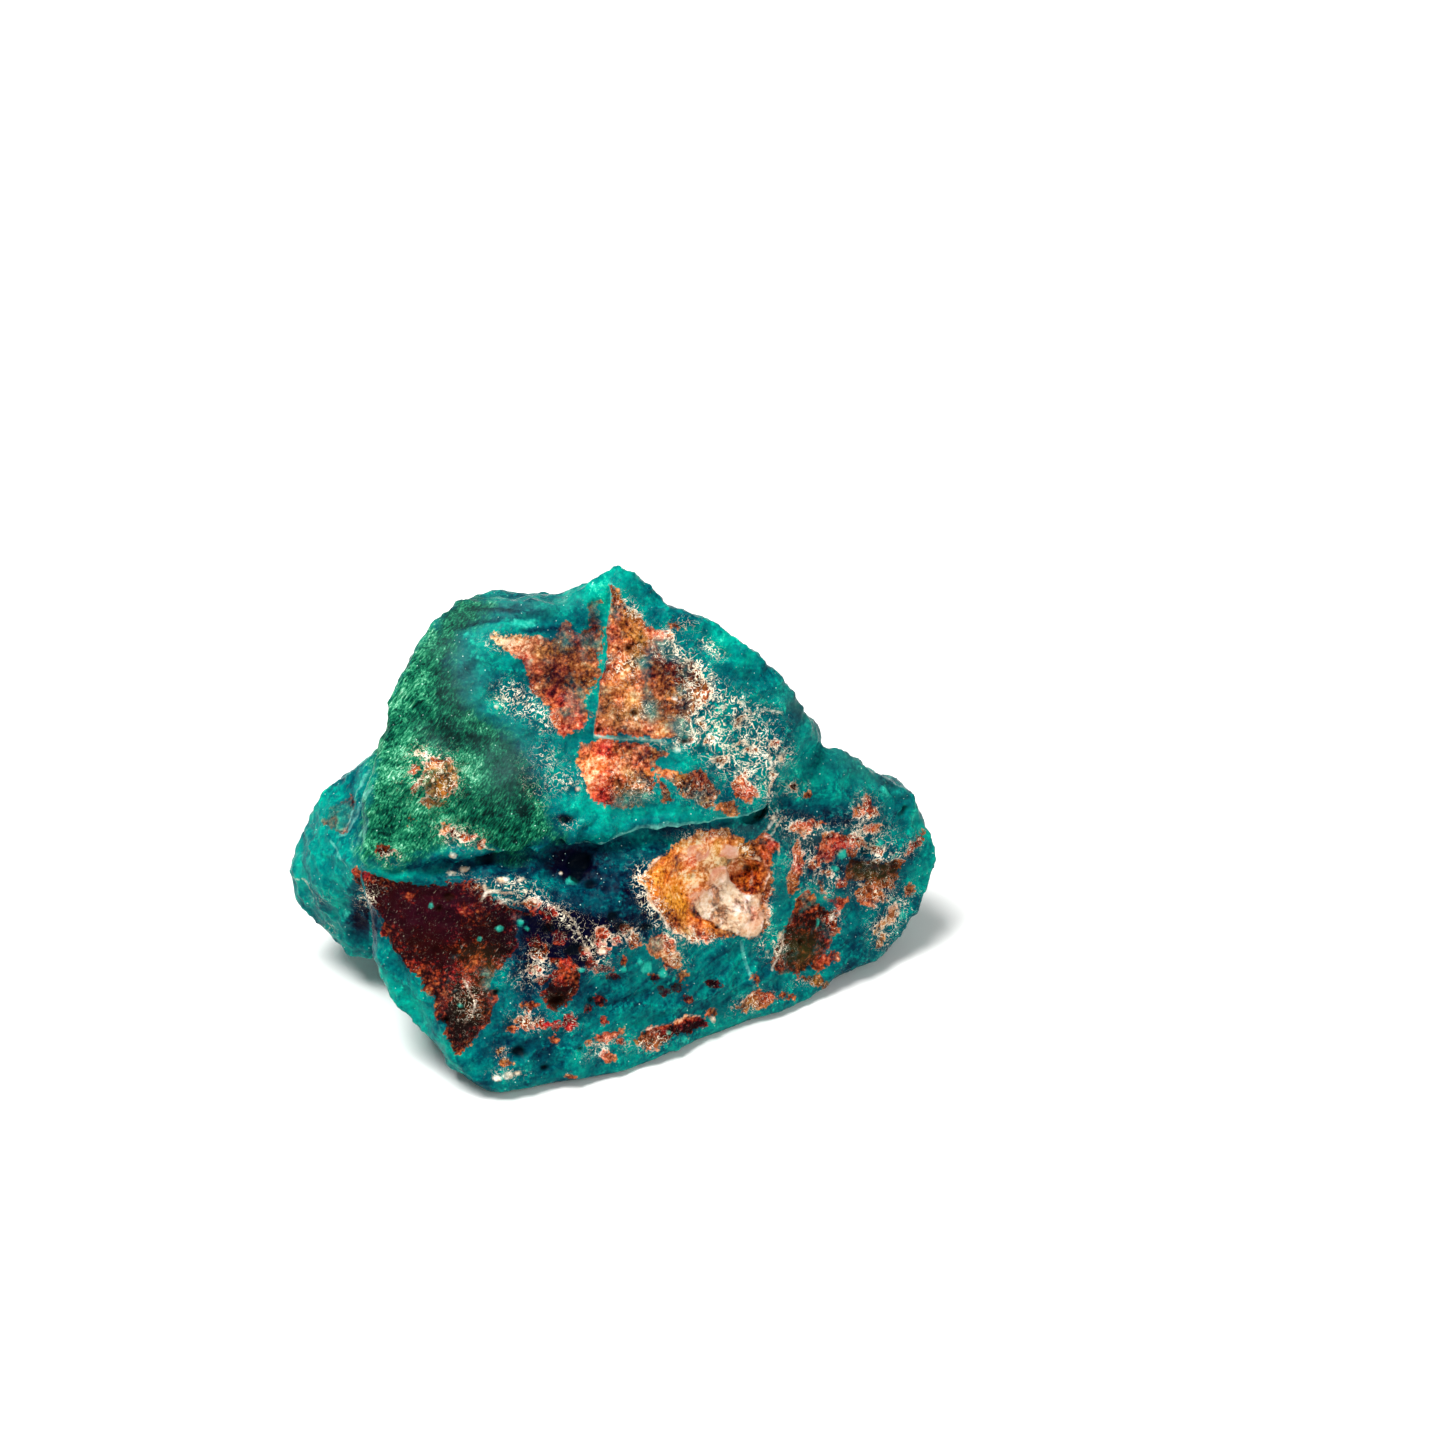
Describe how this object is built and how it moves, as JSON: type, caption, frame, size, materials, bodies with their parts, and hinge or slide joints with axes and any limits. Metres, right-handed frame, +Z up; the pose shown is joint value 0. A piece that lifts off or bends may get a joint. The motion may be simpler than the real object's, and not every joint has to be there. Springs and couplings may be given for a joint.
{
  "type": "dioptase on matrix specimen",
  "caption": "Broken lump of massive blue-green copper mineral veined and pitted by rusty brown matrix, resting on a flat broken foot, with a ledge, a cream-lined pocket and a pointed crown.",
  "frame": {"origin": "on the flat broken foot, below the middle of the lump", "axes": "+X along the lump's longest side, towards its rounded right end; -Y towards the front, with the ledge and the pocket; +Z up, out of the foot"},
  "size_m": [0.0654, 0.0428, 0.0446],
  "materials": {
    "stone": "waxy, slightly translucent teal to turquoise mineral with dull granular orange-brown matrix and cream rims"
  },
  "bodies": {
    "root": {"dioptase_on_matrix": "stone"}
  },
  "joints": []
}
